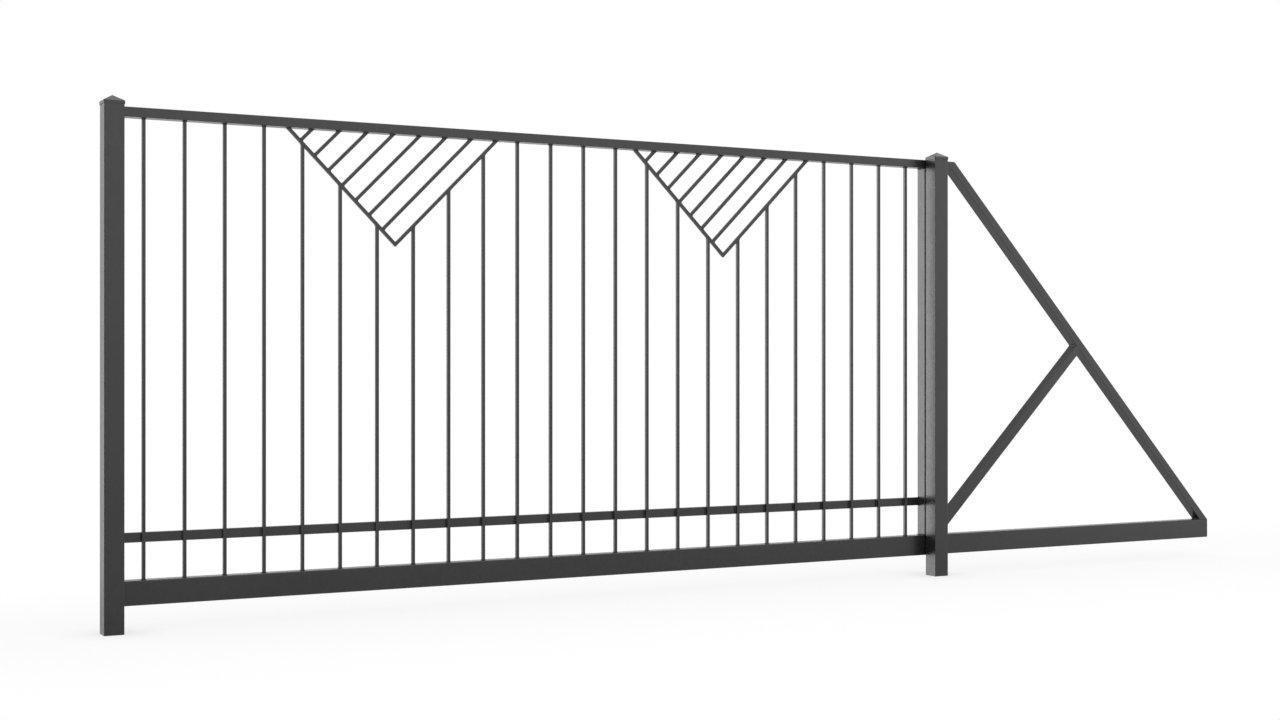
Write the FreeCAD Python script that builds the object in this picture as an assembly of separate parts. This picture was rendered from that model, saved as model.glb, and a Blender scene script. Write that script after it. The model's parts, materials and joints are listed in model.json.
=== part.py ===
import FreeCAD, Part
import math
import os

from FreeCAD import Placement, Rotation, Vector

# Cantilever sliding driveway gate: two square posts with pyramid caps, and behind them a barred leaf
# with a braced tail, which slides open along +X. Millimetres, +Z up, +X towards the tail, +Y away from
# the street. The origin is the centre of the support post's foot, at ground level.

# Posts
clear_opening = 4000.0
post_side = 80.0
post_wall = 3.0
post_corner = 3.0
post_height = 2108.0

# Post caps
cap_skirt = 11.0
cap_skirt_wall = 2.2
cap_clearance = 0.3
cap_deck = 2.0
cap_rise = 25.0

# Leaf frame
leaf_gap = 7.0
leaf_height = 2000.0
leaf_depth = 60.0
ground_clearance = 100.0
top_rail_height = 40.0
stile_width = 40.0
tube_wall = 2.0
tube_corner = 2.5
end_plate = 3.0

# Carrier rail, a channel that is open along its underside
carrier_height = 100.0
carrier_wall = 4.0
carrier_corner = 4.0

# Braced tail
tail_length = 1925.0
strut_width = 40.0
strut_top_reach = 152.0
brace_width = 40.0
brace_heel = 4.0
brace_angle = 45.0

# Upright bars and the lower rail behind them
bar_side = 14.0
bar_count = 24
bar_margin = 100.0
lower_rail_rise = 150.0
lower_rail_height = 40.0
lower_rail_depth = 20.0
lower_rail_wall = 2.0
lower_rail_corner = 2.5

# Chevrons of slats that hang from the top rail, each a number of bar pitches from the middle
chevron_drop = 485.0
chevron_shift_count = 5
slat_pitch = 121.0

# Roller carriage behind the support post
carriage_offset = 62.0
roller_running_gap = 0.3
roller_lip_gap = 1.7
roller_side_gap = 5.0
roller_boss_diameter = 36.0
roller_boss = 2.0
roller_chamfer = 2.0
axle_diameter = 20.0
axle_clearance = 0.05
web_thickness = 10.0
web_slot_gap = 5.0
web_width = 60.0
web_head_diameter = 40.0
stand_length = 90.0
stand_plate = 10.0

# Places along the gate
half_post = post_side / 2
closing_x = -(clear_opening + post_side)
rear_stile_x0 = -half_post
rear_stile_x1 = rear_stile_x0 + stile_width
front_stile_x1 = -(clear_opening + half_post)
front_stile_x0 = front_stile_x1 - stile_width
carrier_x1 = rear_stile_x1 + tail_length
infill_middle = (front_stile_x1 + rear_stile_x0) / 2

# Places across the gate
leaf_y0 = half_post + leaf_gap
leaf_y1 = leaf_y0 + leaf_depth
leaf_y = (leaf_y0 + leaf_y1) / 2
bar_y0 = leaf_y - bar_side / 2
bar_y1 = leaf_y + bar_side / 2

# Heights
carrier_z = ground_clearance + carrier_height / 2
carrier_top = ground_clearance + carrier_height
leaf_top = ground_clearance + leaf_height
top_rail_z = leaf_top - top_rail_height / 2
rail_underside = leaf_top - top_rail_height
lower_rail_z = carrier_top + lower_rail_rise + lower_rail_height / 2

# Upright bars and chevrons
bar_pitch = (rear_stile_x0 - front_stile_x1 - 2 * bar_margin) / (bar_count - 1)
bar_diagonal = bar_side * math.sqrt(2)
chevron_tip = rail_underside - chevron_drop
chevron_apexes = [infill_middle + side * chevron_shift_count * bar_pitch for side in (-1, 1)]
slat_count = int(2 * (chevron_drop - bar_diagonal) // slat_pitch)

# The strut's upper face runs from strut_top to strut_foot, and strut_under is a point of its lower face
strut_top = Vector(rear_stile_x1 + strut_top_reach, 0, leaf_top)
strut_foot = Vector(carrier_x1, 0, carrier_top)
strut_along = Vector(strut_foot - strut_top).normalize()
strut_inward = Vector(strut_along.z, 0, -strut_along.x)
strut_under = strut_top + strut_inward * strut_width

# Rollers and the slot below them, fitted to the inside of the carrier
carrier_slot = web_thickness + 2 * web_slot_gap
roller_diameter = carrier_height - 2 * carrier_wall - roller_running_gap - roller_lip_gap
roller_width = leaf_depth / 2 - carrier_wall - roller_side_gap - web_thickness / 2 - roller_boss
axle_z = carrier_top - carrier_wall - roller_running_gap - roller_diameter / 2

# Longer than any piece, for the blocks that trim slanted ends
reach = 2 * (clear_opening + tail_length + leaf_height)


def rounded_rectangle(width, depth, radius):
    """Face in the XY plane, centred on the origin, with round corners."""
    x, y = width / 2, depth / 2
    outline = Part.makePolygon([Vector(x, y), Vector(-x, y), Vector(-x, -y), Vector(x, -y), Vector(x, y)])
    block = Part.Face(outline).extrude(Vector(0, 0, 1))
    corners = [edge for edge in block.Edges if abs(edge.tangentAt(edge.FirstParameter).z) > 0.5]
    block = block.makeFillet(radius, corners)
    return next(face for face in block.Faces if face.CenterOfMass.z < 1e-6)


def tube_section(width, depth, wall, corner):
    """Hollow section in the XY plane, with its inside corners as tight as the wall leaves them."""
    inner_corner = max(corner - wall, wall / 4)
    hollow = rounded_rectangle(width - 2 * wall, depth - 2 * wall, inner_corner)
    return rounded_rectangle(width, depth, corner).cut(hollow)


def member(section, start, end):
    """Extrudes a section between two points of the XZ plane, at the middle of the leaf's depth."""
    run = end - start
    solid = section.extrude(Vector(0, 0, run.Length))
    turn = Rotation(Vector(0, 1, 0), math.degrees(math.atan2(run.x, run.z)))
    solid.Placement = Placement(start + Vector(0, leaf_y, 0), turn)
    return solid


def prism(points, y0, y1):
    """Solid with an outline of (x, z) points, from y0 to y1."""
    corners = [Vector(x, y0, z) for x, z in points]
    return Part.Face(Part.makePolygon(corners + corners[:1])).extrude(Vector(0, y1 - y0, 0))


def side_of(point, along, towards):
    """Large block on one side of the plane through point that runs along: the side that towards points to."""
    ends = [point - along * reach, point + along * reach]
    outline = ends + [end + towards * reach for end in reversed(ends)]
    return prism([(p.x, p.z) for p in outline], 0, 2 * leaf_y1)


def slab(z0, z1):
    """Large level block between two heights, through the whole leaf."""
    return prism([(-reach, z0), (reach, z0), (reach, z1), (-reach, z1)], 0, 2 * leaf_y1)


def post(x):
    """Square tube that stands on the ground."""
    tube = tube_section(post_side, post_side, post_wall, post_corner).extrude(Vector(0, 0, post_height))
    tube.translate(Vector(x, 0, 0))
    return tube


def pyramid(side, z, rise):
    """Four-sided pyramid on a square of the given side, at the height z."""
    half = side / 2
    base = [Vector(-half, -half, z), Vector(half, -half, z), Vector(half, half, z), Vector(-half, half, z)]
    apex = Vector(0, 0, z + rise)
    faces = [Part.Face(Part.makePolygon(base + base[:1]))]
    for a, b in zip(base, base[1:] + base[:1]):
        faces.append(Part.Face(Part.makePolygon([a, b, apex, a])))
    return Part.Solid(Part.Shell(faces))


def square_block(side, corner, z0, z1):
    """Upright block on a square with round corners."""
    block = rounded_rectangle(side, side, corner).extrude(Vector(0, 0, z1 - z0))
    block.translate(Vector(0, 0, z0))
    return block


def post_cap(x):
    """Pyramid lid that rests on the post's rim, with a skirt down its sides and a hollow under its roof."""
    overhang = cap_clearance + cap_skirt_wall
    side = post_side + 2 * overhang
    socket_side = post_side + 2 * cap_clearance
    hollow_side = post_side - 2 * post_wall
    skirt_foot = post_height - cap_skirt
    eave = post_height + cap_deck
    body = Part.makeBox(side, side, eave - skirt_foot, Vector(-side / 2, -side / 2, skirt_foot))
    body = body.fuse(pyramid(side, eave, cap_rise)).removeSplitter()
    cap = body.common(square_block(side, post_corner + overhang, skirt_foot, eave + cap_rise))
    cap = cap.cut(square_block(socket_side, post_corner + cap_clearance, skirt_foot, post_height))
    cap = cap.cut(pyramid(hollow_side, post_height, cap_rise * hollow_side / side))
    cap.translate(Vector(x, 0, 0))
    return cap


def carrier_rail():
    """Channel that the rollers run in, open along the middle of its underside."""
    section = tube_section(carrier_height, leaf_depth, carrier_wall, carrier_corner)
    slot_start = Vector(carrier_height / 2 - 2 * carrier_wall, -carrier_slot / 2, 0)
    section = section.cut(Part.makePlane(3 * carrier_wall, carrier_slot, slot_start))
    return member(section, Vector(front_stile_x0 + end_plate, 0, carrier_z),
                  Vector(carrier_x1 - end_plate, 0, carrier_z))


def top_rail():
    """Tube over both stiles and on to the strut, with its rear end cut to the strut's slope."""
    section = tube_section(top_rail_height, leaf_depth, tube_wall, tube_corner)
    front = Vector(front_stile_x0 + end_plate, 0, top_rail_z)
    rail = member(section, front, Vector(carrier_x1, 0, top_rail_z))
    return rail.cut(side_of(strut_under, strut_along, -strut_inward))


def stile(x0):
    """Upright tube between the carrier and the top rail."""
    section = tube_section(stile_width, leaf_depth, tube_wall, tube_corner)
    x = x0 + stile_width / 2
    return member(section, Vector(x, 0, carrier_top), Vector(x, 0, rail_underside))


def lower_rail():
    """Tube between the stiles, against the backs of the upright bars."""
    section = tube_section(lower_rail_height, lower_rail_depth, lower_rail_wall, lower_rail_corner)
    rail = member(section, Vector(front_stile_x1, 0, lower_rail_z), Vector(rear_stile_x0, 0, lower_rail_z))
    rail.translate(Vector(0, bar_y1 + lower_rail_depth / 2 - leaf_y, 0))
    return rail


def strut_blank(section):
    """The strut before its ends are cut, longer than it at both."""
    middle = strut_inward * (strut_width / 2)
    spare = strut_along * leaf_height
    return member(section, strut_top + middle - spare, strut_foot + middle + spare)


def tail_strut():
    """Tube from the top rail's end down to the carrier's end, cut level at both."""
    section = tube_section(strut_width, leaf_depth, tube_wall, tube_corner)
    return strut_blank(section).common(slab(carrier_top, leaf_top - end_plate))


def tail_brace():
    """Tube from the rear stile's foot up to the strut, cut level below and to the strut's slope above."""
    section = tube_section(brace_width, leaf_depth, tube_wall, tube_corner)
    angle = math.radians(brace_angle)
    along = Vector(math.cos(angle), 0, math.sin(angle))
    below = Vector(along.z, 0, -along.x)
    heel = Vector(rear_stile_x1 + brace_heel, 0, carrier_top) + below * (brace_width / 2)
    brace = member(section, heel - along * leaf_height, heel + along * (2 * leaf_height))
    return brace.common(slab(carrier_top, leaf_top)).cut(side_of(strut_under, strut_along, -strut_inward))


def rail_end_plates():
    """Plates that close the open ends of the carrier, the top rail and the strut."""
    carrier_end = rounded_rectangle(carrier_height, leaf_depth, carrier_corner)
    rail_end = rounded_rectangle(top_rail_height, leaf_depth, tube_corner)
    strut_end = rounded_rectangle(strut_width, leaf_depth, tube_corner)
    thickness = Vector(end_plate, 0, 0)
    front_low = Vector(front_stile_x0, 0, carrier_z)
    front_high = Vector(front_stile_x0, 0, top_rail_z)
    tail_low = Vector(carrier_x1, 0, carrier_z)
    return Part.makeCompound([
        member(carrier_end, front_low, front_low + thickness),
        member(carrier_end, tail_low - thickness, tail_low),
        member(rail_end, front_high, front_high + thickness),
        strut_blank(strut_end).common(slab(leaf_top - end_plate, leaf_top)),
    ])


def chevron_space(apex):
    """Triangular block between a chevron's outer edges and the top rail."""
    outline = [(apex, chevron_tip), (apex + chevron_drop, rail_underside),
               (apex - chevron_drop, rail_underside)]
    return prism(outline, leaf_y0, leaf_y1)


def upright_bar(x):
    """Square bar from the carrier up to the top rail, or to the chevron above it."""
    corner = Vector(x - bar_side / 2, bar_y0, carrier_top)
    bar = Part.makeBox(bar_side, bar_side, rail_underside - carrier_top, corner)
    return bar.cut([chevron_space(apex) for apex in chevron_apexes])


def chevron_edge_bar(apex):
    """Square bar along the chevron's front edge, which the slats stand on."""
    half = bar_diagonal / 2
    top = apex - chevron_drop
    outline = [(apex, chevron_tip), (apex + half, chevron_tip + half),
               (top + bar_diagonal, rail_underside), (top, rail_underside)]
    return prism(outline, bar_y0, bar_y1)


def chevron_slats(apex):
    """The chevron's rear edge bar and the slats beside it, from the front edge bar up to the top rail."""
    slats = []
    for k in range(slat_count + 1):
        shift = k * slat_pitch
        lower_foot = (apex + (bar_diagonal - shift) / 2, chevron_tip + (bar_diagonal + shift) / 2)
        upper_foot = (apex - shift / 2, chevron_tip + bar_diagonal + shift / 2)
        top = apex + chevron_drop - shift
        outline = [lower_foot, (top, rail_underside), (top - bar_diagonal, rail_underside), upper_foot]
        slats.append(prism(outline, bar_y0, bar_y1))
    return Part.makeCompound(slats)


def across(solid, y):
    """Lays a solid made about +Z along +Y instead, on the axle's line, from y on."""
    solid.Placement = Placement(Vector(carriage_offset, y, axle_z), Rotation(Vector(1, 0, 0), -90))
    return solid


def carriage_stand():
    """Foot plate on the ground with an upright web that reaches into the carrier and holds the axle."""
    plate_corner = Vector(carriage_offset - stand_length / 2, leaf_y0, 0)
    plate = Part.makeBox(stand_length, leaf_depth, stand_plate, plate_corner)
    web_y0 = leaf_y - web_thickness / 2
    web_y1 = leaf_y + web_thickness / 2
    foot = web_width / 2
    neck = web_head_diameter / 2
    shoulder_z = ground_clearance - stand_plate
    half_outline = [(foot, stand_plate), (foot, shoulder_z), (neck, axle_z)]
    outline = half_outline + [(-x, z) for x, z in reversed(half_outline)]
    web = prism([(carriage_offset + x, z) for x, z in outline], web_y0, web_y1)
    head = across(Part.makeCylinder(neck, web_thickness), web_y0)
    hole = across(Part.makeCylinder(axle_diameter / 2 + axle_clearance, web_thickness), web_y0)
    return plate.fuse([web, head]).removeSplitter().cut(hole)


def carriage_axle():
    """Plain pin through the web and both rollers."""
    length = web_thickness + 2 * (roller_boss + roller_width)
    return across(Part.makeCylinder(axle_diameter / 2, length), leaf_y - length / 2)


def carriage_rollers():
    """Roller on each side of the web, with a boss that spaces it from the web."""
    bore = axle_diameter / 2 + axle_clearance
    boss = roller_boss_diameter / 2
    rim = roller_diameter / 2
    shoulder = rim - roller_chamfer
    face = roller_boss + roller_width
    outline = [(bore, 0), (boss, 0), (boss, roller_boss), (shoulder, roller_boss),
               (rim, roller_boss + roller_chamfer), (rim, face - roller_chamfer),
               (shoulder, face), (bore, face)]
    corners = [Vector(radius, 0, z) for radius, z in outline]
    profile = Part.Face(Part.makePolygon(corners + corners[:1]))
    rear = across(profile.revolve(Vector(), Vector(0, 0, 1), 360), leaf_y + web_thickness / 2)
    front = rear.mirror(Vector(0, leaf_y, 0), Vector(0, 1, 0))
    return Part.makeCompound([front, rear])


nodes = {
    "closing_post": post(closing_x),
    "closing_post_cap": post_cap(closing_x),
    "support_post": post(0),
    "support_post_cap": post_cap(0),
    "carriage_stand": carriage_stand(),
    "carriage_axle": carriage_axle(),
    "carriage_rollers": carriage_rollers(),
    "carrier_rail": carrier_rail(),
    "top_rail": top_rail(),
    "front_stile": stile(front_stile_x0),
    "rear_stile": stile(rear_stile_x0),
    "lower_rail": lower_rail(),
    "tail_strut": tail_strut(),
    "tail_brace": tail_brace(),
    "rail_end_plates": rail_end_plates(),
}
for name, apex in zip(("front", "rear"), chevron_apexes):
    nodes[name + "_chevron_edge_bar"] = chevron_edge_bar(apex)
    nodes[name + "_chevron_slats"] = chevron_slats(apex)
for i in range(bar_count):
    nodes["upright_bar_%02d" % (i + 1)] = upright_bar(front_stile_x1 + bar_margin + i * bar_pitch)

os.makedirs("parts", exist_ok=True)
for name, shape in nodes.items():
    shape.exportStep("parts/" + name + ".step")
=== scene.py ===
"""Sliding driveway gate: finish, weld seams, fixings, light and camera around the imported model.

Metres, in the model's own frame: +X towards the braced tail, +Y away from the street, +Z up.
"""

import json
import math

import bmesh
import bpy
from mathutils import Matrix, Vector


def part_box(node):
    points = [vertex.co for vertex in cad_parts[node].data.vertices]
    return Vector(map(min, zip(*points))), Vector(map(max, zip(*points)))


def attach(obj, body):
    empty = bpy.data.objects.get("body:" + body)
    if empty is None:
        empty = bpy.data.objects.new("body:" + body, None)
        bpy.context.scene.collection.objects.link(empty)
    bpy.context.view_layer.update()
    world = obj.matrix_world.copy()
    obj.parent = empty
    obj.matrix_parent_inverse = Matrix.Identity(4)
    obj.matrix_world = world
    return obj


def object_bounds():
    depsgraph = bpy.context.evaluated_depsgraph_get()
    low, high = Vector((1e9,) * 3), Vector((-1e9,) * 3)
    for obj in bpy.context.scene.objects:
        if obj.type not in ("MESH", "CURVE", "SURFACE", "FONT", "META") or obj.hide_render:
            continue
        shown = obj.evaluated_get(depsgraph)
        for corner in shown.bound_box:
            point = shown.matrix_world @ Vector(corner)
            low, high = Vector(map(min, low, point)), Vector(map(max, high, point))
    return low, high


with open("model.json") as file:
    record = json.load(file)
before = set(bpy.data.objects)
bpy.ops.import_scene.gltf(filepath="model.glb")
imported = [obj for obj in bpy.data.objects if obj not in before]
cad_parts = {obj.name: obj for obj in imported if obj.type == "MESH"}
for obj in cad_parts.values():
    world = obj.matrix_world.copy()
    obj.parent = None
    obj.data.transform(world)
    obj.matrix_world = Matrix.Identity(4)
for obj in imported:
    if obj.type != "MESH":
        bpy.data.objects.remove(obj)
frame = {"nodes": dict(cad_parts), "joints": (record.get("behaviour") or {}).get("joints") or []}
nodes = frame["nodes"]
cad_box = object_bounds()

# Camera, solved from the posts, rails and bars in the photograph
CAMERA_PLACE = (-5.5909, -7.1842, 1.0790)
CAMERA_YAW = math.radians(28.413)
CAMERA_PITCH = math.radians(0.0524)
CAMERA_LENS = 50.0
CAMERA_SENSOR = 36.0

# Floor: its white grows from a share at the posts' feet to more near the gate, shut or open, and to all of it
# further off. So the floor is painted greyer near the gate, and more at the posts' feet: painted shade on top
# of the real shadow that it keeps. What the gate mirrors through it is dimmed near the gate, as painted shade
# in the reflections
FLOOR_RADIUS = 60.0
FLOOR_STEPS = 96
FOOT_WHITE = 0.66
FOOT_FADE = (0.05, 0.25)
FLOOR_WHITE = 0.8
FLOOR_FADE = (0.25, 1.6)
MIRROR_LEVEL = 0.78
MIRROR_FADE = (0.5, 2.6)

# Softbox overhead
SOFTBOX_PLACE = (0.5, -4.5, 12.0)
SOFTBOX_SIZE = (26.0, 25.0)
SOFTBOX_POWER = 2600.0

# Surroundings: levels, and where along X, Y or Z of a direction each of them fades
DIM_LEVEL = 0.45
DIM_Z = (0.42, 0.64)
LOWER_LIFT = 0.5
LOWER_Z = (-0.64, -0.42)
LOWER_FRONT_LIFT = 1.6
LOWER_FRONT_Y = (-0.45, 0.15)
LOWER_FRONT_Z = (-0.75, -0.5)
FRONT_BELOW = -0.45
FRONT_ABOVE = (1.05, 0.75)
FRONT_ABOVE_X = (0.42, 0.58)
FRONT_Y = (-0.6, 0.0)
FRONT_Z = (-0.25, 0.25)
RIGHT_GLOW = 0.78
RIGHT_X = (0.5, 0.8)
PANEL_GLOW = 8.0
PANEL_X = (-0.8, -0.42)
PANEL_Y = (0.3, 0.6)
GLOW_Z = (0.2, 0.45)

# Finishes: the colours and roughness that each one wanders between, and the fineness and detail of its noises
NOISE_RANGE = (0.3, 0.7)
BUMP_DEPTH = 0.0002
PAINT_COLORS = ((0.008, 0.008, 0.0082), (0.011, 0.011, 0.0113))
PAINT_ROUGHNESS = (0.27, 0.33)
PAINT_IOR = 1.5
PAINT_CLOUDS = (2.5, 4)
PAINT_SHEEN = (40, 3)
PAINT_PEEL = (450, 2)
PAINT_BUMP = 0.08
ZINC_COLORS = ((0.47, 0.48, 0.49), (0.6, 0.61, 0.62))
ZINC_ROUGHNESS = (0.3, 0.46)
ZINC_CRYSTALS = 220
ZINC_SHEEN = (90, 4)
ZINC_GRAIN = (500, 3)
ZINC_BUMP = 0.2
FLOOR_COLORS = ((0.64, 0.64, 0.64), (0.66, 0.66, 0.66))
FLOOR_ROUGHNESS = 0.9
FLOOR_MOTTLE = (1.5, 3)

# Edges of the bars, and of the caps and plates
BAR_EDGE = 0.0006
PLATE_EDGE = 0.0008
EDGE_STEPS = 2
EDGE_ANGLE = math.radians(40)
JOIN_REACH = 1e-5

# Weld seams
BAR_SEAM = 0.003
FRAME_SEAM = 0.004
RIPPLE_PITCH = 0.0028
RIPPLE_DEPTH = 0.1
STEPS_PER_RIPPLE = 3
LEAST_STEPS = 2
CORNER_STEPS = 3
SEAM_CROWN = 0.62
SEAM_ROOT = 0.35

# Anchors of the carriage's foot plate, and the web that stands on it
PLATE_TOP = 0.01
ANCHOR_INSET = 0.012
ROUND_STEPS = 36
WASHER_RADIUS = 0.008
WASHER_HEIGHT = 0.0016
WASHER_EDGE = 0.0004
NUT_REACH = 0.0065
NUT_HEIGHT = 0.0068
NUT_EDGE = NUT_REACH / 30
NUT_CHAMFER = math.tan(math.radians(30))
NUT_FLAT_TURN = math.pi / 3
STUD_RADIUS = 0.004
THREAD_PITCH = 0.00125
THREAD_DEPTH = 0.0006
THREAD_TURNS = 5
THREAD_CREST = (0.4, 0.6)
THREAD_TIP = 0.2
SHARP_ANGLE = math.radians(25)
WEB_INSET = 0.015
WEB_THICKNESS = 0.01

# Sizes of the model that its boxes don't give
SLAT_PITCH = 0.121
TUBE_CORNER = 0.0025

UP = Vector((0, 0, 1))
RIGHT = Vector((1, 0, 0))
FRONT = Vector((0, -1, 0))
RISING = Vector((1, 0, 1)).normalized()
FALLING = Vector((1, 0, -1)).normalized()
POSTS = ["closing_post", "support_post"]
CARRIAGE = ["carriage_stand", "carriage_axle", "carriage_rollers"]
CHEVRONS = ["front_chevron", "rear_chevron"]
PLATES = ["closing_post_cap", "support_post_cap", "rail_end_plates", "carriage_stand"]
bars = [name for name in sorted(nodes) if name.startswith("upright_bar")]
carrier_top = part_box("carrier_rail")[1].z
rail_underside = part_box("top_rail")[0].z
leaf_travel = frame["joints"][0]["range_m"][1]


# Materials

class Graph:
    """Adds nodes to one tree and links them; most methods return the output to use next."""

    def __init__(self, tree):
        self.tree = tree

    def node(self, kind, **settings):
        """Adds a node of a kind, with its settings."""
        made = self.tree.nodes.new("ShaderNode" + kind)
        for name, value in settings.items():
            setattr(made, name, value)
        return made

    def put(self, socket, value):
        """Gives an input a number or colour directly, or an output by a link."""
        if isinstance(value, bpy.types.NodeSocket):
            self.tree.links.new(value, socket)
        else:
            socket.default_value = value

    def feed(self, node, **inputs):
        """Gives a node its inputs by name, with an underscore for each space."""
        for name, value in inputs.items():
            self.put(node.inputs[name.replace("_", " ")], value)
        return node

    def feed_in_order(self, node, *values):
        """Gives a node its inputs in their order."""
        for socket, value in zip(node.inputs, values):
            self.put(socket, value)
        return node

    def where(self, kind):
        """Coordinates of one kind."""
        return self.node("TexCoord").outputs[kind]

    def noise(self, where, scale, detail):
        """Noise of a given fineness and detail."""
        return self.feed(self.node("TexNoise"), Vector=where, Scale=scale, Detail=detail).outputs["Fac"]

    def ramp(self, value, low, high, start=0.0, end=1.0):
        """Colour between two, as a value goes from start to end."""
        made = self.feed(self.node("ValToRGB"), Fac=value)
        for element, place, color in zip(made.color_ramp.elements, (start, end), (low, high)):
            element.position = place
            element.color = (*color, 1)
        return made.outputs["Color"]

    def fade(self, value, start, end, low, high):
        """Smooth change from low to high, as a value goes from start to end."""
        made = self.node("MapRange", interpolation_type="SMOOTHSTEP")
        self.feed(made, Value=value, From_Min=start, From_Max=end, To_Min=low, To_Max=high)
        return made.outputs["Result"]

    def math(self, operation, *values):
        """Sum, product or other function of values."""
        return self.feed_in_order(self.node("Math", operation=operation), *values).outputs[0]

    def distance(self, first, second):
        """Distance between two points."""
        made = self.node("VectorMath", operation="DISTANCE")
        return self.feed_in_order(made, first, second).outputs["Value"]

    def bump(self, height, strength, distance):
        """Surface direction with a bump of a given depth."""
        made = self.feed(self.node("Bump"), Height=height, Strength=strength, Distance=distance)
        return made.outputs["Normal"]

    def mix(self, share, first, second):
        """Two surfaces mixed."""
        return self.feed_in_order(self.node("MixShader"), share, first, second).outputs["Shader"]

    def seen(self):
        """1 for what the camera sees, directly or through glass."""
        path = self.node("LightPath")
        return self.math("MAXIMUM", path.outputs["Is Camera Ray"], path.outputs["Is Transmission Ray"])


def new_material(name):
    """Material with a Principled surface: the material, its graph and its shader."""
    material = bpy.data.materials.new(name)
    material.use_nodes = True
    return material, Graph(material.node_tree), material.node_tree.nodes["Principled BSDF"]


def powder_coat():
    """Dark grey powder coat: faint clouding, uneven sheen and a fine orange-peel surface."""
    material, graph, shader = new_material("powder_coat_finish")
    where = graph.where("Object")
    clouds = graph.noise(where, *PAINT_CLOUDS)
    sheen = graph.noise(where, *PAINT_SHEEN)
    peel = graph.noise(where, *PAINT_PEEL)
    graph.feed(shader,
               Base_Color=graph.ramp(clouds, *PAINT_COLORS, *NOISE_RANGE),
               Roughness=graph.fade(sheen, *NOISE_RANGE, *PAINT_ROUGHNESS),
               Normal=graph.bump(peel, PAINT_BUMP, BUMP_DEPTH),
               IOR=PAINT_IOR)
    return material


def zinc():
    """Zinc-plated steel with faint crystals."""
    material, graph, shader = new_material("zinc_finish")
    where = graph.where("Object")
    crystals = graph.feed(graph.node("TexVoronoi"), Vector=where, Scale=ZINC_CRYSTALS)
    tone = graph.feed(graph.node("SeparateColor"), Color=crystals.outputs["Color"]).outputs["Red"]
    sheen = graph.noise(where, *ZINC_SHEEN)
    grain = graph.noise(where, *ZINC_GRAIN)
    graph.feed(shader,
               Base_Color=graph.ramp(tone, *ZINC_COLORS),
               Roughness=graph.fade(sheen, *NOISE_RANGE, *ZINC_ROUGHNESS),
               Normal=graph.bump(grain, ZINC_BUMP, BUMP_DEPTH),
               Metallic=1.0)
    return material


def shadow_length():
    """Length of the ground that the gate stands over, shut or open."""
    low, high = cad_box
    return high.x - low.x + leaf_travel


def shadow_middle():
    """Middle of the ground that the gate stands over, shut or open."""
    low, high = cad_box
    return Vector((low.x + shadow_length() / 2, (low.y + high.y) / 2, 0))


def foot_middle(name):
    """Middle of a post's foot."""
    low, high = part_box(name)
    return Vector(((low.x + high.x) / 2, (low.y + high.y) / 2, 0))


def floor_finish():
    """Pale floor that shows white to the camera and keeps the gate's shadow.

    Near the gate, and more at the posts' feet, it shows less white. That is painted shade on top of the real
    shadow.
    Reflections look through it, at the surroundings, and are dimmed near the gate. That is painted shade in
    them."""
    material, graph, shader = new_material("floor_finish")
    where = graph.where("Object")
    mottle = graph.noise(where, *FLOOR_MOTTLE)
    graph.feed(shader,
               Base_Color=graph.ramp(mottle, *FLOOR_COLORS),
               Roughness=FLOOR_ROUGHNESS,
               Specular_IOR_Level=0.0)
    axes = graph.feed(graph.node("SeparateXYZ"), Vector=where)
    along = graph.math("ABSOLUTE", axes.outputs["X"])
    beyond = graph.math("MAXIMUM", graph.math("SUBTRACT", along, shadow_length() / 2), 0.0)
    offset = graph.feed(graph.node("CombineXYZ"), X=beyond, Y=axes.outputs["Y"]).outputs["Vector"]
    away = graph.distance(offset, (0, 0, 0))
    from_feet = [graph.distance(where, foot_middle(name) - shadow_middle()) for name in POSTS]
    # Lower white share near the gate and at the posts' feet: painted shade, so the floor is darker there even
    # where no real shadow falls
    painted_shade_white = graph.fade(graph.math("MINIMUM", *from_feet), *FOOT_FADE, FOOT_WHITE, FLOOR_WHITE)
    white = graph.math("MULTIPLY", graph.seen(), graph.fade(away, *FLOOR_FADE, painted_shade_white, 1.0))
    lit = graph.mix(white, shader.outputs["BSDF"], graph.node("Emission").outputs["Emission"])
    # Reflections through the floor are dimmed near the gate: painted shade that stands in for the shadowed
    # floor there
    clear = graph.fade(away, *MIRROR_FADE, MIRROR_LEVEL, 1.0)
    opening = graph.feed(graph.node("BsdfTransparent"), Color=clear).outputs["BSDF"]
    mirrored = graph.node("LightPath").outputs["Is Glossy Ray"]
    graph.feed(material.node_tree.nodes["Material Output"], Surface=graph.mix(mirrored, lit, opening))
    return material


def finish(piece, material):
    """Gives a piece one material."""
    piece.data.materials.clear()
    piece.data.materials.append(material)


# Stage

def make_floor():
    """Large round floor at ground level, round the middle of the ground that the gate stands over."""
    mesh = bpy.data.meshes.new("floor")
    sheet = bmesh.new()
    bmesh.ops.create_circle(sheet, cap_ends=True, radius=FLOOR_RADIUS, segments=FLOOR_STEPS)
    sheet.to_mesh(mesh)
    sheet.free()
    floor = bpy.data.objects.new("floor", mesh)
    floor.location = shadow_middle()
    bpy.context.scene.collection.objects.link(floor)
    finish(floor, floor_finish())


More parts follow.
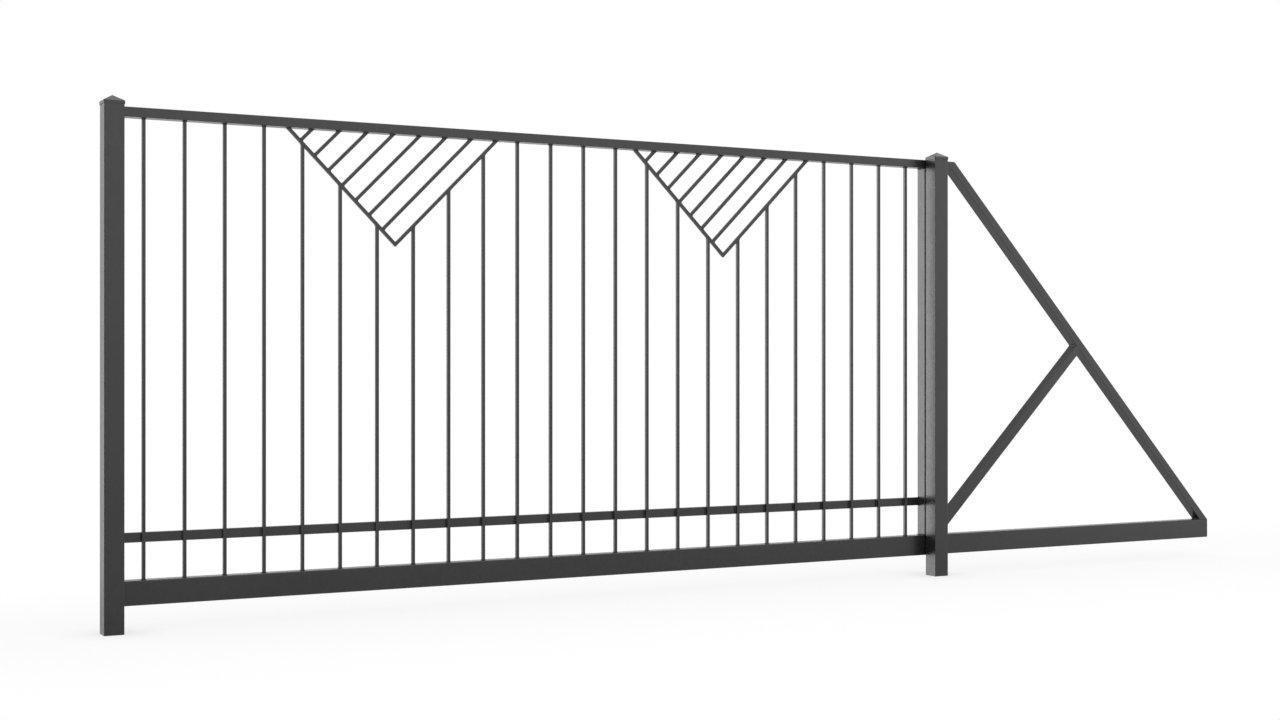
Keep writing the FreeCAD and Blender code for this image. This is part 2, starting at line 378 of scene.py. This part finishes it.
def make_world():
    """White studio, bright round the horizon and dim above, with glows in front and at the sides."""
    world = bpy.data.worlds.new("studio")
    world.use_nodes = True
    graph = Graph(world.node_tree)
    axes = graph.feed(graph.node("SeparateXYZ"), Vector=graph.where("Generated"))
    x, y, z = (axes.outputs[name] for name in "XYZ")
    steepness = graph.math("ABSOLUTE", z)
    above = graph.fade(x, *FRONT_ABOVE_X, *FRONT_ABOVE)
    upright = graph.fade(z, *FRONT_Z, FRONT_BELOW, above)
    right = graph.fade(x, *RIGHT_X, 0.0, RIGHT_GLOW)
    front = graph.math("MULTIPLY", graph.fade(y, *FRONT_Y, 1.0, 0.0), graph.math("ADD", upright, right))
    panel = graph.math("MULTIPLY", graph.fade(x, *PANEL_X, PANEL_GLOW, 0.0),
                       graph.fade(y, *PANEL_Y, 0.0, 1.0))
    glow = graph.math("MULTIPLY", graph.math("ADD", front, panel), graph.fade(steepness, *GLOW_Z, 1.0, 0.0))
    horizon = graph.fade(steepness, *DIM_Z, 1.0, DIM_LEVEL)
    lower = graph.fade(z, *LOWER_Z, LOWER_LIFT, 0.0)
    lower_front = graph.math("MULTIPLY", graph.fade(y, *LOWER_FRONT_Y, LOWER_FRONT_LIFT, 0.0),
                             graph.fade(z, *LOWER_FRONT_Z, 1.0, 0.0))
    level = graph.math("ADD", graph.math("ADD", graph.math("ADD", horizon, lower), lower_front), glow)
    level = graph.math("MAXIMUM", level, graph.seen())
    graph.feed(world.node_tree.nodes["Background"], Color=(1, 1, 1, 1), Strength=level)
    bpy.context.scene.world = world


def make_softbox():
    """Large soft light overhead."""
    light = bpy.data.lights.new("softbox", "AREA")
    light.shape = "RECTANGLE"
    light.size, light.size_y = SOFTBOX_SIZE
    light.energy = SOFTBOX_POWER
    lamp = bpy.data.objects.new("softbox", light)
    lamp.location = SOFTBOX_PLACE
    bpy.context.scene.collection.objects.link(lamp)


def make_camera():
    """Camera where the photograph was taken from."""
    data = bpy.data.cameras.new("camera")
    data.lens = CAMERA_LENS
    data.sensor_width = CAMERA_SENSOR
    camera = bpy.data.objects.new("camera", data)
    camera.location = CAMERA_PLACE
    camera.rotation_euler = (math.pi / 2 + CAMERA_PITCH, 0, -CAMERA_YAW)
    bpy.context.scene.collection.objects.link(camera)
    bpy.context.scene.camera = camera


# Pieces

def add_piece(name, sheet, body, material):
    """Makes a smooth piece of a finished bmesh, riding on a body."""
    mesh = bpy.data.meshes.new(name)
    bmesh.ops.recalc_face_normals(sheet, faces=sheet.faces)
    for face in sheet.faces:
        face.smooth = True
    sheet.to_mesh(mesh)
    sheet.free()
    piece = bpy.data.objects.new(name, mesh)
    bpy.context.scene.collection.objects.link(piece)
    finish(piece, material)
    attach(piece, body)
    return piece


def round_edges(piece, width):
    """Softens a piece's sharp edges."""
    weld = piece.modifiers.new("join_corners", "WELD")
    weld.merge_threshold = JOIN_REACH
    bevel = piece.modifiers.new("soft_edges", "BEVEL")
    bevel.width = width
    bevel.segments = EDGE_STEPS
    bevel.limit_method = "ANGLE"
    bevel.angle_limit = EDGE_ANGLE
    bevel.harden_normals = True


# Weld seams

def walk(corners, normal, closed):
    """Points along an outline, each with the direction out of it, counter-clockwise about the normal."""
    count = len(corners)
    edges = [(corners[i], corners[(i + 1) % count]) for i in range(count if closed else count - 1)]
    outs = [(end - start).cross(normal).normalized() for start, end in edges]
    places = []
    for i, (start, end) in enumerate(edges):
        steps = max(LEAST_STEPS, round((end - start).length / RIPPLE_PITCH * STEPS_PER_RIPPLE))
        places += [(start.lerp(end, s / steps), outs[i]) for s in range(steps + 1)]
        if closed or i + 1 < len(edges):
            following = outs[(i + 1) % len(outs)]
            places += [(end, outs[i].slerp(following, s / CORNER_STEPS)) for s in range(1, CORNER_STEPS)]
    return places


def seam(sheet, corners, normal, rise, leg, closed=True):
    """Rippled weld seam in the corner between a plate and the piece that stands on it.

    The corners outline the standing piece's foot, normal is the plate's and rise runs up the piece."""
    rings = []
    travelled = 0.0
    places = walk(corners, normal, closed)
    for i, (point, out) in enumerate(places):
        travelled += (point - places[i - 1][0]).length if i else 0.0
        size = leg * (1 + RIPPLE_DEPTH * math.sin(2 * math.pi * travelled / RIPPLE_PITCH))
        section = [-SEAM_ROOT * (out + rise), out, SEAM_CROWN * (out + rise), rise]
        rings.append([sheet.verts.new(point + size * offset) for offset in section])
    pairs = list(zip(rings, rings[1:]))
    if closed:
        pairs.append((rings[-1], rings[0]))
    else:
        sheet.faces.new(rings[0])
        sheet.faces.new(reversed(rings[-1]))
    for one, two in pairs:
        for j in range(len(one)):
            sheet.faces.new((one[j], one[j - 1], two[j - 1], two[j]))


def foot_outline(first, second, y0, y1, normal):
    """Outline between two points of the XZ plane, from y0 to y1, counter-clockwise about the normal."""
    corners = [Vector((p.x, y, p.z)) for p, y in ((first, y0), (second, y0), (second, y1), (first, y1))]
    if (corners[1] - corners[0]).cross(corners[2] - corners[1]).dot(normal) < 0:
        corners.reverse()
    return corners


def line_seam(sheet, start, end, normal, rise, out, leg):
    """Straight seam from start to end, on the side that out points to."""
    line = [start, end]
    if (end - start).cross(normal).dot(out) < 0:
        line.reverse()
    seam(sheet, line, normal, rise, leg, closed=False)


def cross_seam(sheet, point, y0, y1, normal, rise, out, leg):
    """Straight seam across the gate from y0 to y1, at a point of the XZ plane."""
    line_seam(sheet, Vector((point.x, y0, point.z)), Vector((point.x, y1, point.z)), normal, rise, out, leg)


def chevron_lines(name):
    """Apex, tip height, near and far side and level width of a chevron's edge bar."""
    low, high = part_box(name + "_edge_bar")
    level_width = (high.y - low.y) * math.sqrt(2)
    return high.x - level_width / 2, low.z, low.y, high.y, level_width


def bar_seams():
    """Seams at both ends of the upright bars, and beside them on the lower rail."""
    sheet = bmesh.new()
    rail_low, rail_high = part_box("lower_rail")
    chevrons = [chevron_lines(name) for name in CHEVRONS]
    for name in bars:
        low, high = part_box(name)
        foot = [Vector((x, 0, carrier_top)) for x in (low.x, high.x)]
        seam(sheet, foot_outline(*foot, low.y, high.y, UP), UP, UP, BAR_SEAM)
        if high.z > rail_underside - BAR_SEAM:
            head = [Vector((x, 0, rail_underside)) for x in (low.x, high.x)]
            seam(sheet, foot_outline(*head, low.y, high.y, -UP), -UP, -UP, BAR_SEAM)
        else:
            apex, tip = min((lines[:2] for lines in chevrons), key=lambda place: abs(place[0] - low.x))
            normal = FALLING if low.x > apex else -RISING
            for x, out in ((low.x, -RIGHT), (high.x, RIGHT)):
                head = Vector((x, 0, tip + abs(x - apex)))
                cross_seam(sheet, head, low.y, high.y, normal, -UP, out, BAR_SEAM)
        for x, out in ((low.x, -RIGHT), (high.x, RIGHT)):
            start = Vector((x, rail_low.y, rail_low.z + TUBE_CORNER))
            end = Vector((x, rail_low.y, rail_high.z - TUBE_CORNER))
            line_seam(sheet, start, end, FRONT, FRONT, out, BAR_SEAM)
    add_piece("bar_seams", sheet, "leaf", paint)


def chevron_seams():
    """Seams at both ends of every slat, and at the top of the edge bars."""
    sheet = bmesh.new()
    for name in CHEVRONS:
        apex, tip, y0, y1, level_width = chevron_lines(name)
        drop = rail_underside - tip
        corner = Vector((apex - drop, 0, rail_underside))
        seam(sheet, foot_outline(corner, corner + RIGHT * level_width, y0, y1, -UP), -UP, FALLING, BAR_SEAM)
        for k in range(int(2 * (drop - level_width) / SLAT_PITCH) + 1):
            shift = k * SLAT_PITCH
            head = Vector((apex + drop - shift, 0, rail_underside))
            seam(sheet, foot_outline(head, head - RIGHT * level_width, y0, y1, -UP), -UP, -RISING, BAR_SEAM)
            lower = Vector((apex + (level_width - shift) / 2, 0, tip + (level_width + shift) / 2))
            upper = lower - FALLING * (y1 - y0)
            cross_seam(sheet, upper, y0, y1, RISING, RISING, -FALLING, BAR_SEAM)
            if k:
                cross_seam(sheet, lower, y0, y1, RISING, RISING, FALLING, BAR_SEAM)
    add_piece("chevron_seams", sheet, "leaf", paint)


def frame_seams():
    """Seams where the leaf's tubes meet."""
    sheet = bmesh.new()
    low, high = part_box("rear_stile")
    front_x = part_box("front_stile")[1].x
    strut_low, strut_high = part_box("tail_strut")
    brace_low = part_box("tail_brace")[0]
    rail_end = Vector((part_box("top_rail")[1].x, 0, rail_underside))
    strut_top = Vector((strut_low.x, 0, strut_high.z))
    along = (rail_end - strut_top).normalized()
    beneath = Vector((along.z, 0, -along.x))
    strut_foot = strut_top + along * ((carrier_top - strut_top.z) / along.z)

    def meet_strut(point):
        """Where a line that rises at 45 degrees from a point reaches the strut's underside."""
        return point + RISING * ((strut_top - point).dot(beneath) / RISING.dot(beneath))

    brace_width = (high.x - low.x) * math.sqrt(2)
    heel = Vector((brace_low.x, 0, carrier_top))
    toe = heel + RIGHT * brace_width
    joints = [
        (Vector((front_x, 0, rail_underside)), -UP, -UP, RIGHT),
        (Vector((low.x, 0, rail_underside)), -UP, -UP, -RIGHT),
        (Vector((high.x, 0, rail_underside)), -UP, -UP, RIGHT),
        (Vector((front_x, 0, carrier_top)), UP, UP, RIGHT),
        (Vector((low.x, 0, carrier_top)), UP, UP, -RIGHT),
        (heel, UP, RISING, -RIGHT),
        (toe, UP, RISING, RIGHT),
        (meet_strut(heel), beneath, -RISING, -along),
        (meet_strut(toe), beneath, -RISING, along),
        (strut_foot, UP, -along, -RIGHT),
        (rail_end, -UP, along, -RIGHT),
    ]
    for point, normal, rise, out in joints:
        cross_seam(sheet, point, low.y + TUBE_CORNER, high.y - TUBE_CORNER, normal, rise, out, FRAME_SEAM)

    rail_low, rail_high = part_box("lower_rail")
    back = rail_high.y - BAR_SEAM
    for x, normal in ((front_x, RIGHT), (low.x, -RIGHT)):
        path = [Vector((x, back, rail_high.z)), Vector((x, rail_low.y, rail_high.z)),
                Vector((x, rail_low.y, rail_low.z)), Vector((x, back, rail_low.z))]
        if normal.x < 0:
            path.reverse()
        seam(sheet, path, normal, normal, BAR_SEAM, closed=False)
    add_piece("frame_seams", sheet, "leaf", paint)


# Carriage fixings

def shell(sheet, rings):
    """Closed shell through rings of points, lowest first."""
    loops = [[sheet.verts.new(point) for point in ring] for ring in rings]
    for one, two in zip(loops, loops[1:]):
        for i in range(len(one)):
            sheet.faces.new((one[i - 1], one[i], two[i], two[i - 1]))
    sheet.faces.new(reversed(loops[0]))
    sheet.faces.new(loops[-1])


def circle(place, radius, height):
    """Level ring of points above a place."""
    turns = [2 * math.pi * i / ROUND_STEPS for i in range(ROUND_STEPS)]
    return [place + Vector((radius * math.cos(t), radius * math.sin(t), height)) for t in turns]


def hexagon(place, reach, height, slope):
    """Six-sided ring of points above a place, sloping at its corners."""
    ring = []
    for i in range(ROUND_STEPS):
        turn = 2 * math.pi * i / ROUND_STEPS
        radius = reach / math.cos(turn % NUT_FLAT_TURN - NUT_FLAT_TURN / 2)
        ring.append(place + Vector((radius * math.cos(turn), radius * math.sin(turn),
                                    height + slope * (radius - reach))))
    return ring


def anchor(sheet, place):
    """Washer, chamfered nut and threaded stud end."""
    shell(sheet, [circle(place, WASHER_RADIUS, 0), circle(place, WASHER_RADIUS, WASHER_HEIGHT - WASHER_EDGE),
                  circle(place, WASHER_RADIUS - WASHER_EDGE, WASHER_HEIGHT)])
    seat = place + UP * WASHER_HEIGHT
    shell(sheet, [circle(seat, NUT_REACH - NUT_EDGE, 0), hexagon(seat, NUT_REACH, NUT_EDGE, NUT_CHAMFER),
                  hexagon(seat, NUT_REACH, NUT_HEIGHT - NUT_EDGE, -NUT_CHAMFER),
                  circle(seat, NUT_REACH - NUT_EDGE, NUT_HEIGHT)])
    thread = seat + UP * (NUT_HEIGHT - THREAD_PITCH)
    root = STUD_RADIUS - THREAD_DEPTH
    rings = []
    for i in range(THREAD_TURNS):
        rings.append(circle(thread, root, i * THREAD_PITCH))
        rings += [circle(thread, STUD_RADIUS, (i + share) * THREAD_PITCH) for share in THREAD_CREST]
    rings.append(circle(thread, root - THREAD_DEPTH, (THREAD_TURNS + THREAD_TIP) * THREAD_PITCH))
    shell(sheet, rings)


def carriage_fixings():
    """Anchors at the corners of the carriage's foot plate, and the seam round its web."""
    low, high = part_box("carriage_stand")
    sheet = bmesh.new()
    for x in (low.x + ANCHOR_INSET, high.x - ANCHOR_INSET):
        for y in (low.y + ANCHOR_INSET, high.y - ANCHOR_INSET):
            anchor(sheet, Vector((x, y, PLATE_TOP)))
    anchors = add_piece("carriage_anchors", sheet, "posts", steel)
    anchors.data.set_sharp_from_angle(angle=SHARP_ANGLE)
    sheet = bmesh.new()
    ends = [Vector((x, 0, PLATE_TOP)) for x in (low.x + WEB_INSET, high.x - WEB_INSET)]
    middle = (low.y + high.y) / 2
    outline = foot_outline(*ends, middle - WEB_THICKNESS / 2, middle + WEB_THICKNESS / 2, UP)
    seam(sheet, outline, UP, UP, BAR_SEAM)
    add_piece("carriage_seam", sheet, "posts", steel)


paint = powder_coat()
steel = zinc()
for name, node in nodes.items():
    finish(node, steel if name in CARRIAGE else paint)
for name in bars + [name for name in nodes if "chevron" in name]:
    round_edges(nodes[name], BAR_EDGE)
for name in PLATES:
    round_edges(nodes[name], PLATE_EDGE)
bar_seams()
chevron_seams()
frame_seams()
carriage_fixings()

make_floor()
make_world()
make_softbox()
make_camera()
bpy.context.scene.view_settings.view_transform = "Standard"
